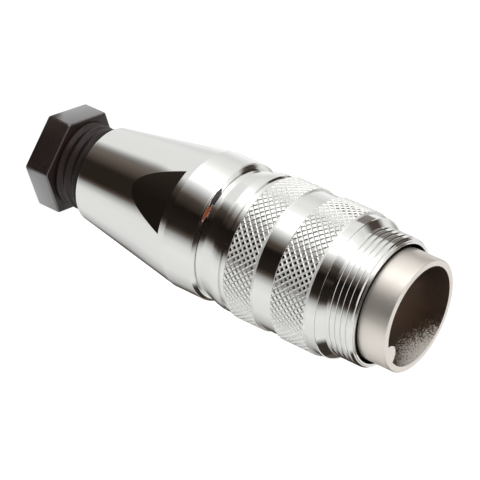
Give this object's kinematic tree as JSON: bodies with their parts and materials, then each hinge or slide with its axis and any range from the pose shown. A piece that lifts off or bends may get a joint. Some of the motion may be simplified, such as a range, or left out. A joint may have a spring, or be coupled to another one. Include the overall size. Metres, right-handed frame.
{
  "type": "coaxial connector",
  "caption": "Straight screw-coupling coaxial cable connector: keyed shield tube, knurled coupling ring with external thread, tapered housing with wrench flats and a black hexagon gland nut.",
  "frame": {"origin": "centre of the gland nut's flat rear face, on which the connector stands", "axes": "+Z along the connector's axis towards the open mouth; -Y faces the viewer and is the side of one wrench flat and one hexagon flat"},
  "size_m": [0.018, 0.018, 0.054],
  "materials": {
    "bright_nickel": "bright nickel plate on turned brass",
    "satin_nickel": "dull nickel plate on turned brass",
    "bare_brass": "turned",
    "gold_contact": "gold plated",
    "black_nylon": "moulded, slight sheen",
    "natural_nylon": "moulded",
    "white_dielectric": "turned",
    "black_rubber": "moulded"
  },
  "bodies": {
    "shell": {"housing": "bright_nickel", "shield_tube": "satin_nickel", "housing_seal_ring": "black_rubber", "ring_seal_ring": "black_rubber", "slip_washer": "natural_nylon", "front_insulator": "white_dielectric", "rear_insulator": "white_dielectric", "centre_contact": "gold_contact", "insulator_nut": "bare_brass", "spacer_sleeve": "bare_brass", "braid_clamp": "bare_brass", "clamp_cage": "natural_nylon", "cable_seal": "black_rubber"},
    "ring": {"coupling_ring": "bright_nickel"},
    "washer": {"thrust_washer": "bare_brass"},
    "nut": {"gland_nut": "black_nylon"}
  },
  "joints": [
    {"name": "ring_spin", "type": "hinge", "parent": "shell", "child": "ring", "pos_m": [0, 0, 0.035], "axis": [0, 0, 1], "continuous": true},
    {"name": "gland_travel", "type": "slide", "parent": "shell", "child": "washer", "axis": [0, 0, 1], "range_m": [-0.00125, 0.0025], "deforming": ["cable_seal"]},
    {"name": "nut_turn", "type": "hinge", "parent": "washer", "child": "nut", "pos_m": [0, 0, 0.006], "axis": [0, 0, 1], "range_deg": [-360, 720]}
  ],
  "couplings": [
    {"joint": "nut_turn", "follows": "gland_travel", "rad_per_m": 5026.5}
  ]
}
